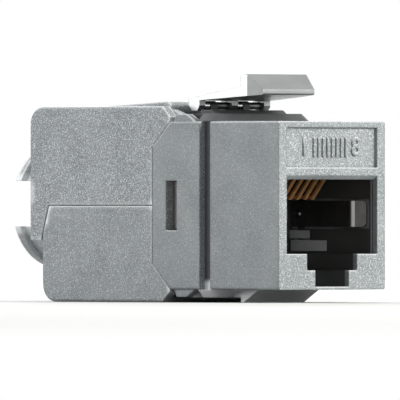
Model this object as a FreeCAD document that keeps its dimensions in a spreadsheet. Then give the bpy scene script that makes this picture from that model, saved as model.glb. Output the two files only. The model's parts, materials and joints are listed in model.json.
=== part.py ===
"""Shielded, tool-less keystone jack with a die-cast housing, a sprung panel latch and two hinged wings.

Every piece is drawn in jack coordinates: X to the right, Y from the front face towards the cable, and
Z up from the axis of the port. One placement then stands the whole jack on the floor, with its origin
at the middle of its length. All lengths are in millimetres.
"""

import FreeCAD
import Part
import Sketcher
import math
import os

SIZES = {
    # front housing
    "face_width": 14.5,
    "face_height": 16.2,
    "front_depth": 9.8,
    "corner_round": 0.75,
    "edge_round": 0.2,
    "side_wall": 1.05,
    "floor_wall": 1.63,
    "face_wall": 1.0,
    "port_wall": 0.55,
    "port_width": 12.4,
    "port_top": 2.5,
    "port_bevel": 0.4,
    "port_floor": 4.66,
    "key_width": 6.86,
    "key_floor": 6.24,
    "latch_slot_width": 4.6,
    "latch_slot_floor": 7.81,
    "latch_slot_depth": 8.0,
    "label_low": 3.65,
    "label_high": 7.5,
    "label_depth": 0.35,
    # contact carrier, with the plug's space
    "core_fit": 0.02,
    "plug_width": 11.76,
    "plug_depth": 11.5,
    "carrier_back": 1.1,
    "carrier_front_gap": 0.02,
    "contact_bay_width": 8.6,
    "contact_bay_front": 3.7,
    "contact_bay_top": 4.15,
    "slot_lining": 0.3,
    "relief_length": 2.6,
    "relief_wall": 0.2,
    # contacts
    "contact_pitch": 1.02,
    "contact_width": 0.4,
    "contact_thickness": 0.25,
    "contact_height": 3.6,
    "contact_bend": 4.5,
    "contact_reach": 2.3,
    "contact_drop": 2.3,
    "contact_fold_run": 0.25,
    "contact_fold_drop": 0.6,
    "contact_hook_run": 0.6,
    "contact_hook_rise": 0.15,
    "contact_fit": 0.05,
    # ground springs
    "leaf_height": 2.5,
    "leaf_centre": 0.8,
    "leaf_thickness": 0.2,
    "leaf_front": 0.95,
    "leaf_crest": 2.15,
    "leaf_flat": 0.7,
    "leaf_rest": 5.5,
    "leaf_bulge": 0.95,
    "leaf_tip_rise": 0.5,
    "leaf_window": 0.2,
    "pip_radius": 0.4,
    "pip_rise": 0.2,
    "pip_setback": 0.75,
    # latch frame: the smooth ring in the neck with its two plates and the fixed lug
    "neck_length": 1.0,
    "ring_side": 0.35,
    "plate_rise": 0.77,
    "plate_inset": 0.35,
    "plate_lap": 1.0,
    "plate_tail": 0.5,
    "plate_round": 2.0,
    "plate_bevel": 0.7,
    "tongue_gap": 0.45,
    "tongue_length": 3.85,
    "sill_rise": 0.35,
    "sill_slope": 0.5,
    "sill_start": 0.2,
    "sill_length": 1.9,
    "lug_width": 8.3,
    "lug_front": 5.8,
    "lug_ridge": 7.9,
    "lug_back": 8.25,
    "lug_root": 1.0,
    # latch lever with its pin and springs
    "pin_setback": 3.2,
    "pin_height": 0.78,
    "pin_radius": 0.35,
    "pin_fit": 0.03,
    "pin_cap": 0.3,
    "pin_overhang": 0.45,
    "rib_pitch": 4.45,
    "rib_width": 0.82,
    "rib_front": 0.8,
    "rib_back": 0.7,
    "rib_drop": 0.5,
    "rib_heel_run": 0.45,
    "rib_heel_rise": 0.6,
    "rib_fit": 0.05,
    "bearing_width": 0.9,
    "bearing_radius": 0.46,
    "lever_tip": 5.85,
    "lever_tip_low": 10.67,
    "lever_tip_high": 11.2,
    "lever_tip_width": 7.0,
    "lever_tip_round": 0.2,
    "tooth_front": 7.5,
    "tooth_width": 8.1,
    "tooth_top": 12.66,
    "lever_top": 11.47,
    "lever_root_top": 10.6,
    "lever_root_low": 10.14,
    "lever_root_edge": 0.15,
    "rib_root": 0.1,
    "spring_outer": 0.46,
    "spring_wire": 0.14,
    "spring_length": 1.0,
    # rear frame
    "frame_length": 6.4,
    "seam_run": 2.45,
    "seam_drop": 2.43,
    "seam_gap": 0.08,
    "window_start": 3.1,
    "window_length": 1.5,
    "window_height": 4.8,
    "ear_rise": 0.72,
    "ear_start": 0.8,
    "ear_length": 2.85,
    "ear_front_slope": 1.2,
    "ear_back_slope": 0.35,
    "notch_start": 1.2,
    "notch_depth": 1.7,
    "arm_notch": 0.85,
    # wings
    "hinge_setback": 2.3,
    "hinge_inset": 0.65,
    "hinge_radius": 0.5,
    "hinge_fit": 0.04,
    "hinge_cap": 0.35,
    "knuckle_radius": 0.92,
    "knuckle_fit": 0.06,
    "panel_wall": 1.2,
    "rear_wall": 1.2,
    "wing_rise": 1.5,
    "wing_drop": 1.25,
    "wing_round": 1.7,
    "wing_edge": 0.3,
    "lower_length": 15.3,
    "tail_length": 1.72,
    "corner_run": 1.1,
    "corner_drop": 1.05,
    "panel_setback": 1.3,
    "panel_gap": 0.2,
    "nose_radius": 0.39,
    "ramp_length": 8.6,
    "ramp_rise": 0.44,
    "lower_nose_sink": 0.04,
    "arm_root": 1.95,
    "tail_drop": 3.35,
    "tail_gap": 0.15,
    "stop_rib": 1.0,
    "stop_rib_setback": 8.12,
    "cable_hole": 3.6,
    # cable collar
    "overall_length": 37.8,
    "collar_radius": 5.5,
    "collar_wall": 0.6,
    "lip_radius": 6.05,
    "lip_length": 0.75,
    "upper_collar_cut": 2.4,
    "lower_collar_cut": 2.05,
    # circuit board, terminal block, terminals and wire manager
    "board_thickness": 1.0,
    "board_gap": 0.05,
    "board_margin": 0.25,
    "block_base": 3.2,
    "tower_length": 4.6,
    "tower_height": 3.0,
    "row_height": 4.5,
    "terminal_pitch": 2.7,
    "terminal_width": 1.7,
    "terminal_thickness": 0.35,
    "terminal_slot": 0.32,
    "terminal_slot_depth": 2.4,
    "terminal_fit": 0.04,
    "terminal_pin": 0.5,
    "terminal_inset": 0.3,
    "wire_slot_width": 0.95,
    "wire_slot_depth": 2.9,
    "tab_rise": 0.7,
    "tab_lip": 0.3,
    "tab_height": 4.5,
    "tab_play": 0.1,
    "manager_length": 7.0,
    "manager_back": 2.2,
    "manager_fit": 0.08,
    "manager_hole": 3.2,
}

CONTACTS = 8
TERMINALS_IN_ROW = 4
RIBS = 3
SPRING_TURNS = 4

BEYOND = 1.0  # how far a cut runs past the piece that it opens
NEAR = 1e-3  # how close a point lies to a station to count as on it
ARM_ANGLE = math.radians(120)  # where a wing's arm leaves its knuckle, counted from the jack's rear
NOSE_STEPS = 6  # flats round the nose of a thumb ramp


class Size:
    """A length together with the spreadsheet expression that yields it."""

    def __init__(self, value, text):
        self.value = value
        self.text = text

    @staticmethod
    def of(number):
        """Returns number as a Size, leaving a Size as it is."""
        return number if isinstance(number, Size) else Size(float(number), f"{number:g}")

    def _join(self, other, sign, result):
        other = Size.of(other)
        return Size(result(self.value, other.value), f"({self.text} {sign} {other.text})")

    def __add__(self, other):
        return self._join(other, "+", lambda a, b: a + b)

    def __sub__(self, other):
        return self._join(other, "-", lambda a, b: a - b)

    def __mul__(self, other):
        return self._join(other, "*", lambda a, b: a * b)

    def __truediv__(self, other):
        return self._join(other, "/", lambda a, b: a / b)

    def __radd__(self, other):
        return Size.of(other) + self

    def __rsub__(self, other):
        return Size.of(other) - self

    def __rmul__(self, other):
        return Size.of(other) * self

    def __neg__(self):
        return Size(-self.value, f"(0 - {self.text})")

    def root(self):
        """Returns the square root."""
        return Size(math.sqrt(self.value), f"sqrt({self.text})")


class Sheet:
    """The spreadsheet of driving sizes, read as attributes that are Size values."""

    def __init__(self, doc):
        self._cells = doc.addObject("Spreadsheet::Sheet", "Sizes")
        self._sizes = {}
        for row, (alias, value) in enumerate(SIZES.items(), start=1):
            self._cells.set(f"A{row}", alias.replace("_", " "))
            self._cells.set(f"B{row}", f"{value}")
            self._cells.setAlias(f"B{row}", alias)
            self._sizes[alias] = Size(float(value), f"Sizes.{alias}")
        doc.recompute()

    def __getattr__(self, alias):
        return self._sizes[alias]


class Circle:
    """A circle in a sketch, given by its centre and radius."""

    def __init__(self, u, v, radius):
        self.u, self.v, self.radius = Size.of(u), Size.of(v), Size.of(radius)


PLANES = {"side": "YZ_Plane", "face": "XZ_Plane", "plan": "XY_Plane"}
AXES = {"x": "X_Axis", "y": "Y_Axis", "z": "Z_Axis"}


def bind(thing, path, size):
    """Ties one property of an object to the sheet."""
    thing.setExpression(path, Size.of(size).text)


def datum(body, role):
    """The body's own origin plane or axis of that role."""
    return next(feature for feature in body.Origin.OriginFeatures if feature.Role == role)


def new_body(doc, label):
    """An empty body with its label, standing where the whole jack stands."""
    body = doc.addObject("PartDesign::Body", label)
    body.Label = label
    return body


def box(u0, v0, u1, v1):
    """The corners of a rectangle."""
    return [(u0, v0), (u1, v0), (u1, v1), (u0, v1)]


def arc(u, v, radius, start, end, steps):
    """Points on an arc about (u, v), from one angle to another in degrees."""
    angles = [math.radians(start + (end - start) * i / steps) for i in range(steps + 1)]
    return [(u + radius * math.cos(a), v + radius * math.sin(a)) for a in angles]


def centred(width, v0, v1):
    """The corners of a rectangle that is centred across the jack."""
    return box(-width / 2, v0, width / 2, v1)


def lock(sketch, geometry, point, u, v):
    """Fixes one point of a sketch at two bound distances from the sketch's origin."""
    for kind, size in (("DistanceX", u), ("DistanceY", v)):
        size = Size.of(size)
        index = sketch.addConstraint(Sketcher.Constraint(kind, -1, 1, geometry, point, size.value))
        sketch.setExpression(f"Constraints[{index}]", size.text)


def draw_polygon(sketch, corners):
    """Adds a closed polygon whose corners are each fixed by two bound distances."""
    flat = [FreeCAD.Vector(Size.of(u).value, Size.of(v).value, 0) for u, v in corners]
    first = sketch.GeometryCount
    count = len(flat)
    for i in range(count):
        sketch.addGeometry(Part.LineSegment(flat[i], flat[(i + 1) % count]), False)
    for i in range(count):
        sketch.addConstraint(Sketcher.Constraint("Coincident", first + i, 2, first + (i + 1) % count, 1))
    for i, (u, v) in enumerate(corners):
        lock(sketch, first + i, 1, u, v)


def draw_circle(sketch, circle):
    """Adds a circle with a bound centre and radius."""
    centre = FreeCAD.Vector(circle.u.value, circle.v.value, 0)
    normal = FreeCAD.Vector(0, 0, 1)
    index = sketch.addGeometry(Part.Circle(centre, normal, circle.radius.value), False)
    lock(sketch, index, 3, circle.u, circle.v)
    radius = sketch.addConstraint(Sketcher.Constraint("Radius", index, circle.radius.value))
    sketch.setExpression(f"Constraints[{radius}]", circle.radius.text)


def draw(body, plane, offset, shapes):
    """A sketch parallel to one of the body's origin planes, offset along that plane's row axis."""
    sketch = body.newObject("Sketcher::SketchObject", f"{body.Name}_sketch")
    sketch.AttachmentSupport = (datum(body, PLANES[plane]), [""])
    sketch.MapMode = "FlatFace"
    offset = Size.of(offset)
    along = -offset if plane == "face" else offset
    sketch.AttachmentOffset = FreeCAD.Placement(FreeCAD.Vector(0, 0, along.value), FreeCAD.Rotation())
    bind(sketch, "AttachmentOffset.Base.z", along)
    for shape in shapes:
        if isinstance(shape, Circle):
            draw_circle(sketch, shape)
        else:
            draw_polygon(sketch, shape)
    return sketch


def pad(body, plane, start, end, *shapes):
    """Adds material between two stations along the plane's row axis."""
    sketch = draw(body, plane, start, shapes)
    feature = body.newObject("PartDesign::Pad", f"{body.Name}_pad")
    feature.Profile = sketch
    feature.Reversed = plane == "face"
    length = Size.of(end) - start
    feature.Length = length.value
    bind(feature, "Length", length)
    return feature


def cut(body, plane, start, end, *shapes):
    """Removes material between two stations along the plane's row axis."""
    sketch = draw(body, plane, start, shapes)
    feature = body.newObject("PartDesign::Pocket", f"{body.Name}_cut")
    feature.Profile = sketch
    feature.Reversed = plane != "face"
    length = Size.of(end) - start
    feature.Length = length.value
    bind(feature, "Length", length)
    return feature


def pad_across(body, width, *shapes, at=0):
    """Adds material of a given width across the jack, from a side profile."""
    return pad(body, "side", at - width / 2, at + width / 2, *shapes)


def cut_across(body, width, *shapes, at=0):
    """Removes material of a given width across the jack, to a side profile."""
    return cut(body, "side", at - width / 2, at + width / 2, *shapes)


def repeat(body, feature, axis, pitch, count):
    """A row of copies of one feature."""
    pattern = body.newObject("PartDesign::LinearPattern", f"{body.Name}_row")
    pattern.Originals = [feature]
    pattern.Direction = (datum(body, AXES[axis]), [""])
    span = pitch * (count - 1)
    pattern.Length = span.value
    bind(pattern, "Length", span)
    pattern.Occurrences = count
    body.Tip = pattern
    return pattern


def edges_near(feature, axis, places):
    """Names of the feature's straight edges along axis through the given points of the other two axes."""
    others = [k for k in range(3) if k != "xyz".index(axis)]
    found = []
    for number, edge in enumerate(feature.Shape.Edges, start=1):
        ends = [vertex.Point for vertex in edge.Vertexes]
        if len(ends) != 2 or not isinstance(edge.Curve, Part.Line):
            continue
        for place in places:
            target = [Size.of(value).value for value in place]
            if all(abs(end[k] - t) < NEAR for end in ends for k, t in zip(others, target)):
                found.append(f"Edge{number}")
    return found


def round_edges(body, feature, radius, names, kind="PartDesign::Fillet", size="Radius"):
    """Rounds (or bevels) the named edges of the body's latest feature."""
    if not names:
        raise RuntimeError(f"{body.Label}: no edge to round")
    fillet = body.newObject(kind, f"{body.Name}_edge")
    fillet.Base = (feature, names)
    setattr(fillet, size, Size.of(radius).value)
    bind(fillet, size, radius)
    body.Tip = fillet
    body.Document.recompute()
    return fillet


def bevel_edges(body, feature, setback, names):
    """Bevels the named edges of the body's latest feature."""
    return round_edges(body, feature, setback, names, "PartDesign::Chamfer", "Size")


def outline_edges(feature, test):
    """Names of the feature's edges whose ends and middle all pass a test."""
    found = []
    for number, edge in enumerate(feature.Shape.Edges, start=1):
        middle = edge.valueAt((edge.FirstParameter + edge.LastParameter) / 2)
        if all(test(point) for point in [vertex.Point for vertex in edge.Vertexes] + [middle]):
            found.append(f"Edge{number}")
    return found


class Layout:
    """Stations and levels that several pieces share, worked out once from the driving sizes."""

    def __init__(self, s):
        self.half_width = s.face_width / 2
        self.half_height = s.face_height / 2
        self.frame_front = s.front_depth + s.neck_length
        self.frame_back = self.frame_front + s.frame_length
        self.seam_front = self.frame_back - s.seam_run
        self.seam_low = self.half_height - s.seam_drop
        self.bay_width = s.face_width - s.side_wall * 2
        self.bay_half_height = self.half_height - s.floor_wall
        self.core_width = self.bay_width - s.core_fit * 2
        self.core_half_height = self.bay_half_height - s.core_fit
        self.board_half_height = self.core_half_height - s.board_margin
        self.lined_width = s.latch_slot_width + s.slot_lining * 2
        self.carrier_end = s.plug_depth + s.carrier_back
        self.board_front = self.carrier_end + s.board_gap
        self.board_back = self.board_front + s.board_thickness
        self.block_back = self.board_back + s.block_base
        self.tower_back = self.block_back + s.tower_length
        self.hinge_y = self.frame_front + s.hinge_setback
        self.hinge_z = self.half_height - s.hinge_inset
        self.lower_back = self.frame_back + s.lower_length
        self.upper_back = self.lower_back + s.tail_length
        self.wing_top = self.half_height + s.wing_rise
        self.wing_bottom = self.half_height + s.wing_drop
        self.plate_top = self.half_height + s.plate_rise
        self.plate_front = s.front_depth - s.plate_lap
        self.plate_back = self.frame_front + s.plate_tail
        self.tongue_back = self.frame_front + s.tongue_length
        self.pin_y = self.frame_front + s.pin_setback
        self.pin_z = self.plate_top + s.pin_height
        self.sill_front = self.frame_front + s.sill_start
        self.sill_back = self.sill_front + s.sill_length
        self.stop_rib_front = self.upper_back - s.stop_rib_setback
        self.lever_width = s.rib_pitch * (RIBS - 1) + s.rib_width
        self.pin_end = -self.lever_width / 2 + s.pin_cap
        self.front_shelf = s.label_low - s.core_fit * 2
        self.lip_front = s.overall_length - s.lip_length
        self.collar_bore = s.collar_radius - s.collar_wall
        self.notch_middle = (self.bay_width - s.arm_notch) / 2
        self.tongue_width = self.bay_width - s.arm_notch * 2 - s.tongue_gap * 2
        self.panel_width = self.bay_width - s.panel_gap * 2
        self.first_contact = -s.contact_pitch * ((CONTACTS - 1) / 2)
        self.first_terminal = -s.terminal_pitch * ((TERMINALS_IN_ROW - 1) / 2)
        self.terminal_span = s.terminal_pitch * TERMINALS_IN_ROW
        self.blade_level = s.row_height + s.tower_height / 4

    def spring_start(self, s, number):
        """Where a latch spring begins, just right of the rib of the same number."""
        return s.rib_pitch * (number - (RIBS + 1) / 2) + s.rib_width / 2 + s.rib_fit


def build_front_housing(doc, s, at):
    """The cast front block: port, label pocket and the bay for the contact carrier."""
    body = new_body(doc, "front_housing")
    block = pad(body, "face", 0, s.front_depth, centred(s.face_width, -at.half_height, at.half_height))
    doc.recompute()
    w, t = at.half_width, at.half_height
    rear = edges_near(block, "z", [(w, s.front_depth), (-w, s.front_depth)])
    block = round_edges(body, block, s.corner_round, rear)
    sills = edges_near(block, "y", [(w, t), (-w, t), (w, -t), (-w, -t)])
    round_edges(body, block, s.edge_round, sills)
    bay = at.bay_half_height
    cut(body, "face", s.face_wall, s.front_depth, centred(at.bay_width, -bay, bay))
    cut(body, "face", s.port_wall, s.face_wall, centred(at.bay_width, -bay, at.front_shelf))
    cut(body, "face", 0, s.port_wall, centred(s.port_width, -s.port_floor, s.port_top))
    cut(body, "face", 0, s.port_wall, centred(s.key_width, -s.key_floor, -s.port_floor + s.port_bevel))
    cut(body, "face", 0, s.latch_slot_depth,
        centred(s.latch_slot_width, -s.latch_slot_floor, -s.key_floor + s.port_bevel))
    cut(body, "face", s.port_wall, s.latch_slot_depth,
        centred(at.lined_width + s.core_fit * 2, -s.latch_slot_floor, -s.key_floor))
    doc.recompute()
    lintel = edges_near(body.Tip, "x", [(0, s.port_top)])
    bevel_edges(body, body.Tip, s.port_bevel, lintel)
    cut(body, "face", 0, s.label_depth, centred(s.port_width, s.label_low, s.label_high))
    return body


def build_contact_carrier(doc, s, at):
    """The plastic insert: the plug's space with its side windows, the contact bay and the slot's lining."""
    body = new_body(doc, "contact_carrier")
    half = at.core_half_height
    front = s.face_wall + s.carrier_front_gap
    pad(body, "face", front, at.carrier_end, centred(at.core_width, -half, half))
    pad(body, "face", s.port_wall + s.carrier_front_gap, front,
        centred(at.core_width, -half, at.front_shelf - s.core_fit * 2))
    pad(body, "face", s.port_wall + s.carrier_front_gap, s.latch_slot_depth - s.core_fit,
        centred(at.lined_width, -s.latch_slot_floor + s.core_fit, -s.key_floor))
    plug = s.plug_width / 2
    cut(body, "face", 0, s.plug_depth, box(-plug, -s.port_floor, plug, s.port_top))
    cut(body, "face", 0, s.latch_slot_depth + s.neck_length,
        centred(s.key_width, -s.key_floor, -s.port_floor + s.port_bevel))
    cut(body, "face", 0, s.latch_slot_depth,
        centred(s.latch_slot_width, -s.latch_slot_floor - BEYOND, -s.key_floor + s.port_bevel))
    cut(body, "face", s.contact_bay_front, s.plug_depth,
        centred(s.contact_bay_width, s.port_top - s.port_bevel, s.contact_bay_top))
    leaf_low = -s.leaf_centre - s.leaf_height / 2 - s.leaf_window
    leaf_high = -s.leaf_centre + s.leaf_height / 2 + s.leaf_window
    cut(body, "face", s.leaf_front - s.leaf_window, s.plug_depth,
        centred(at.core_width + BEYOND, leaf_low, leaf_high))
    cut(body, "face", s.plug_depth - s.relief_length, s.plug_depth - s.relief_wall,
        centred(at.core_width + BEYOND, -s.port_floor + s.relief_wall, leaf_low - s.relief_wall))
    hole = s.contact_thickness / 2 + s.contact_fit
    left = at.first_contact
    wide = s.contact_width / 2 + s.contact_fit
    slot = cut(body, "face", s.plug_depth - BEYOND, at.carrier_end + BEYOND,
               box(left - wide, s.contact_height - hole, left + wide, s.contact_height + hole))
    repeat(body, slot, "x", s.contact_pitch, CONTACTS)
    return body


def ribbon(points, thickness):
    """The outline of a strip of even thickness that follows a bent centre line, with mitred corners."""
    values = [(Size.of(u).value, Size.of(v).value) for u, v in points]
    count = len(values)
    normals = []
    for (u0, v0), (u1, v1) in zip(values, values[1:]):
        run = math.hypot(u1 - u0, v1 - v0)
        normals.append((-(v1 - v0) / run, (u1 - u0) / run))
    left, right = [], []
    for i, (u, v) in enumerate(points):
        before = normals[max(i - 1, 0)]
        after = normals[min(i, count - 2)]
        scale = 1 + before[0] * after[0] + before[1] * after[1]
        du = (before[0] + after[0]) / scale
        dv = (before[1] + after[1]) / scale
        left.append((u + thickness * (du / 2), v + thickness * (dv / 2)))
        right.append((u - thickness * (du / 2), v - thickness * (dv / 2)))
    return left + right[::-1]


def build_contact(doc, s, at, number):
    """One contact: a flat wire from the board, bent back at the front to press on the plug."""
    body = new_body(doc, f"contact_{number}")
    x = at.first_contact + s.contact_pitch * (number - 1)
    fold = s.contact_height - s.contact_fold_drop
    path = [
        (at.board_back, s.contact_height),
        (s.contact_bend, s.contact_height),
        (s.contact_bend - s.contact_fold_run, fold),
        (s.contact_bend + s.contact_reach - s.contact_hook_run, fold - s.contact_drop),
        (s.contact_bend + s.contact_reach, fold - s.contact_drop + s.contact_hook_rise),
    ]
    pad_across(body, s.contact_width, ribbon(path, s.contact_thickness), at=x)
    return body


def build_ground_spring(doc, s, at, side):
    """One leaf on the port's side wall, bowed into the plug's space, with a contact pip near its root."""
    body = new_body(doc, "ground_spring_left" if side < 0 else "ground_spring_right")
    wall = (at.core_width / 2 - s.leaf_thickness / 2) * side
    root = s.plug_depth - s.leaf_window
    path = [
        (wall, root),
        (wall, s.leaf_rest),
        (wall - s.leaf_bulge * side, s.leaf_crest + s.leaf_flat / 2),
        (wall - s.leaf_bulge * side, s.leaf_crest - s.leaf_flat / 2),
        (wall - (s.leaf_bulge - s.leaf_tip_rise) * side, s.leaf_front),
    ]
    low = -s.leaf_centre - s.leaf_height / 2
    pad(body, "plan", low, low + s.leaf_height, ribbon(path, s.leaf_thickness))
    pip_y = root - s.pip_setback
    inner = wall - s.leaf_thickness / 2 * side
    tip = inner - s.pip_rise * side
    start, end = (inner, tip) if side < 0 else (tip, inner)
    pad(body, "side", start, end, Circle(pip_y, -s.leaf_centre, s.pip_radius))
    return body


def add_plate(body, s, at, side):
    """One smooth plate of the latch frame, above (side 1) or below (side -1) the neck."""
    half = at.half_width - s.plate_inset
    tongue = at.tongue_width / 2
    levels = sorted((at.half_height * side, at.plate_top * side), key=lambda level: level.value)
    plate = pad(body, "plan", levels[0], levels[1], [
        (-half, at.plate_front), (half, at.plate_front), (half, at.plate_back), (tongue, at.plate_back),
        (tongue, at.tongue_back), (-tongue, at.tongue_back), (-tongue, at.plate_back),
        (-half, at.plate_back)])
    body.Document.recompute()
    corners = edges_near(plate, "z", [(half, at.plate_front), (-half, at.plate_front)])
    corners = round_edges(body, plate, s.plate_round, corners)
    level = (at.plate_top * side).value
    rim = outline_edges(corners, lambda p: abs(p.z - level) < NEAR and p.y < at.plate_back.value - NEAR)
    bevel_edges(body, corners, s.plate_bevel, rim)


def build_latch_frame(doc, s, at):
    """The smooth casting round the neck: ring, top plate with the pin's bearings, bottom plate and lug."""
    body = new_body(doc, "latch_frame")
    half = at.bay_width / 2 + s.ring_side
    bay = at.bay_half_height
    pad(body, "face", s.front_depth, at.frame_front, box(-half, -at.half_height, half, at.half_height))
    cut(body, "face", s.front_depth, at.frame_front, centred(at.bay_width, -bay, bay))
    for side in (1, -1):
        add_plate(body, s, at, side)
    low = at.plate_top
    pad_across(body, at.tongue_width, [
        (at.sill_front, low), (at.sill_front + s.sill_slope, low + s.sill_rise),
        (at.sill_back, low + s.sill_rise), (at.sill_back, low)])
    reach = s.bearing_radius
    for number in range(1, RIBS):
        x = at.spring_start(s, number) + s.spring_length + s.rib_fit + s.bearing_width / 2
        pad_across(body, s.bearing_width, box(at.pin_y - reach, low, at.pin_y + reach, at.pin_z), at=x)
        pad_across(body, s.bearing_width, Circle(at.pin_y, at.pin_z, reach), at=x)
    cut_across(body, at.tongue_width, Circle(at.pin_y, at.pin_z, s.pin_radius))
    bottom = -at.half_height
    ridge = -at.wing_bottom
    pad_across(body, s.lug_width, [
        (s.lug_front, bottom), (s.lug_back + s.lug_root, bottom), (s.lug_back + s.lug_root, -at.plate_top),
        (s.lug_back, -at.plate_top), (s.lug_back, ridge), (s.lug_ridge, ridge)])
    return body


def build_latch_lever(doc, s, at):
    """The lever: a tapered arm with the catch tooth, and three ribs that turn on the pin."""
    body = new_body(doc, "latch_lever")
    root_front = at.pin_y - s.rib_front
    root_back = at.pin_y + s.rib_back
    arm = pad_across(body, at.lever_width, [
        (s.lever_tip, s.lever_tip_low), (s.lever_tip, s.lever_tip_high), (s.tooth_front, s.tooth_top),
        (s.lug_back, s.tooth_top), (s.lug_back, s.lever_top), (root_front, s.lever_root_top),
        (root_back, s.lever_root_low + s.lever_root_edge), (root_back, s.lever_root_low),
        (root_front, s.lever_root_low)])
    doc.recompute()
    tip = edges_near(arm, "x", [(s.lever_tip, s.lever_tip_low), (s.lever_tip, s.lever_tip_high)])
    round_edges(body, arm, s.lever_tip_round, tip)
    outer = at.lever_width / 2
    clear = outer + BEYOND
    widest = root_front - s.rib_width
    ahead = s.lever_tip - BEYOND
    for side in (1, -1):
        cut(body, "plan", s.lever_root_low - BEYOND, s.tooth_top + BEYOND, [
            (s.lever_tip_width / 2 * side, ahead), (s.lever_tip_width / 2 * side, s.lever_tip),
            (s.tooth_width / 2 * side, s.tooth_front), (outer * side, widest),
            (clear * side, widest), (clear * side, ahead)])
    rib_low = at.pin_z - s.rib_drop
    rib_high = s.lever_root_low + s.rib_root
    for rib in range(RIBS):
        x = s.rib_pitch * (rib - (RIBS - 1) / 2)
        pad_across(body, s.rib_width, [
            (root_front, rib_high), (root_front, at.pin_z), (at.pin_y - s.rib_drop, rib_low),
            (root_back - s.rib_heel_run, rib_low), (root_back, rib_low + s.rib_heel_rise),
            (root_back, rib_high)], at=x)
    cut(body, "side", at.pin_end, outer, Circle(at.pin_y, at.pin_z, s.pin_radius + s.pin_fit))
    return body


def build_latch_pin(doc, s, at):
    """The steel pin that carries the lever, from inside its left rib to a little past its right one."""
    body = new_body(doc, "latch_pin")
    pad(body, "side", at.pin_end, at.lever_width / 2 + s.pin_overhang,
        Circle(at.pin_y, at.pin_z, s.pin_radius))
    return body


def build_latch_spring(doc, s, at, number):
    """One torsion spring: a coiled sleeve of round turns on the pin, with a leg down to the frame."""
    body = new_body(doc, f"latch_spring_{number}")
    start = at.spring_start(s, number)
    end = start + s.spring_length
    pitch = s.spring_length / SPRING_TURNS
    wire = s.spring_wire / 2
    inner = s.pin_radius + s.pin_fit
    profile = [(start, at.pin_z + inner)]
    for turn in range(SPRING_TURNS):
        profile.append((start + pitch * turn, at.pin_z + s.spring_outer - wire))
        profile.append((start + pitch * (turn + 0.5), at.pin_z + s.spring_outer))
    profile.append((end, at.pin_z + s.spring_outer - wire))
    profile.append((end, at.pin_z + inner))
    sketch = draw(body, "face", at.pin_y, [profile])
    ends = [FreeCAD.Vector(x, at.pin_z.value, 0) for x in (-at.half_width.value, at.half_width.value)]
    hub = sketch.addGeometry(Part.LineSegment(*ends), True)
    sketch.addConstraint(Sketcher.Constraint("Horizontal", hub))
    lock(sketch, hub, 1, -at.half_width, at.pin_z)
    coil = body.newObject("PartDesign::Revolution", f"{body.Name}_coil")
    coil.Profile = sketch
    coil.ReferenceAxis = (sketch, ["Axis0"])
    coil.Angle = 360
    leg_x = start + s.spring_wire
    foot = at.plate_top
    pad_across(body, s.spring_wire, [
        (at.sill_back, foot), (at.sill_back, foot + s.spring_wire),
        (at.pin_y, at.pin_z - inner), (at.pin_y, at.pin_z - s.spring_outer)], at=leg_x)
    return body


def build_rear_frame(doc, s, at):
    """The cast middle section: a tube round the core with hinge ears, corner seams and side windows."""
    body = new_body(doc, "rear_frame")
    w, t = at.half_width, at.half_height
    tube = pad_across(body, s.face_width, [
        (at.frame_front, -t), (at.seam_front, -t), (at.frame_back, -at.seam_low),
        (at.frame_back, at.seam_low), (at.seam_front, t), (at.frame_front, t)])
    doc.recompute()
    sills = edges_near(tube, "y", [(w, t), (-w, t), (w, -t), (-w, -t)])
    round_edges(body, tube, s.edge_round, sills)
    ear = at.frame_front + s.ear_start
    ear_end = ear + s.ear_length
    for side in (1, -1):
        pad_across(body, s.face_width - s.edge_round * 2, [
            (ear, t * side), (ear_end, t * side), (ear_end - s.ear_back_slope, (t + s.ear_rise) * side),
            (ear + s.ear_front_slope, (t + s.ear_rise) * side)])
    open_end = at.frame_back + BEYOND
    over_ear = t + s.ear_rise + BEYOND
    notch = at.frame_front + s.notch_start
    cut(body, "face", at.frame_front, open_end,
        centred(at.bay_width, -at.bay_half_height, at.bay_half_height))
    for side in (1, -1):
        cut_across(body, at.bay_width, box(at.frame_front, t * side, open_end, over_ear * side))
        for hand in (1, -1):
            cut_across(body, s.arm_notch, box(
                notch, (t - s.notch_depth) * side, open_end, over_ear * side), at=at.notch_middle * hand)
    first = at.frame_front + s.window_start
    cut_across(body, s.face_width, box(
        first, -s.window_height / 2, first + s.window_length, s.window_height / 2))
    for side in (1, -1):
        cut(body, "side", -w + s.hinge_cap, w, Circle(at.hinge_y, at.hinge_z * side, s.hinge_radius))
    return body


def build_hinge_pin(doc, s, at, side):
    """The steel pin on which one wing turns, pressed into the frame from the right."""
    body = new_body(doc, "upper_hinge_pin" if side > 0 else "lower_hinge_pin")
    pad(body, "side", -at.half_width + s.hinge_cap, at.half_width,
        Circle(at.hinge_y, at.hinge_z * side, s.hinge_radius))
    return body


def wing_outline(s, at, side, top, back):
    """The side outline of a wing: seam with the frame, bevelled front corner, top and tail or relief."""
    g = s.seam_gap
    slope = s.seam_drop / s.seam_run
    shift = g * ((slope * slope + 1).root() / slope)
    low = at.seam_low + (g - shift) * slope
    drop = at.hinge_z - s.tail_drop
    tail_y = at.lower_back - at.hinge_y
    swing = (tail_y * tail_y + drop * drop).root()
    seam = at.hinge_z * at.hinge_z
    outline = [
        (at.frame_back + g, g / 2), (at.frame_back + g, low), (at.seam_front + shift, at.half_height),
        (at.seam_front + shift, top - s.corner_drop), (at.seam_front + shift + s.corner_run, top)]
    if side > 0:
        wide = swing + s.tail_gap
        outline += [
            (back, top), (back, -s.tail_drop),
            (at.hinge_y + (wide * wide - drop * drop).root(), -s.tail_drop),
            (at.hinge_y + (wide * wide - seam).root(), g / 2)]
    else:
        outline += [
            (back, top), (back, s.tail_drop),
            (at.hinge_y + (swing * swing - seam).root(), g / 2)]
    return [(y, z * side) for y, z in outline]


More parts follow.
